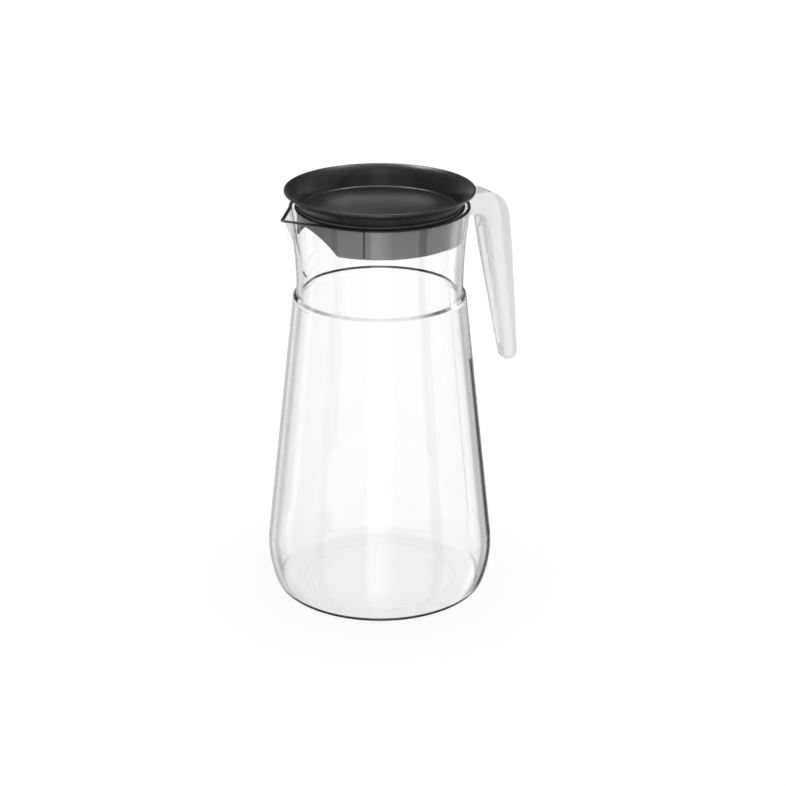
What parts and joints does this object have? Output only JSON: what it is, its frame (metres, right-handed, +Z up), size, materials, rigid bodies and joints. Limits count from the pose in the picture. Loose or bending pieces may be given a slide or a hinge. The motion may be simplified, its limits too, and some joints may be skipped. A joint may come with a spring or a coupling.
{
  "type": "lidded water jug",
  "caption": "Tall clear plastic jug that tapers to a narrow neck, with a drawn-out pouring spout, an open hanging handle and a black dished lid that turns to open or close the spout.",
  "frame": {"origin": "centre of the flat foot, on the table under the jug's round axis", "axes": "+Z up along the jug's axis, -X towards the spout, +X towards the handle"},
  "size_m": [0.1636, 0.136, 0.2483],
  "materials": {
    "clear_plastic": "clear gloss",
    "seal_rubber": "smooth matt",
    "lid_plastic": "satin"
  },
  "bodies": {
    "jug": {"jug_body": "clear_plastic", "neck": "clear_plastic", "handle": "clear_plastic"},
    "seal": {"seal_ring": "seal_rubber"},
    "lid": {"lid_dish": "lid_plastic", "lid_skirt": "lid_plastic"}
  },
  "joints": [
    {"name": "lid_lift", "type": "slide", "parent": "jug", "child": "seal", "axis": [0, 0, 1], "range_m": [0, 0.08]},
    {"name": "lid_turn", "type": "hinge", "parent": "seal", "child": "lid", "pos_m": [0, 0, 0.2396], "axis": [0, 0, 1], "continuous": true}
  ]
}
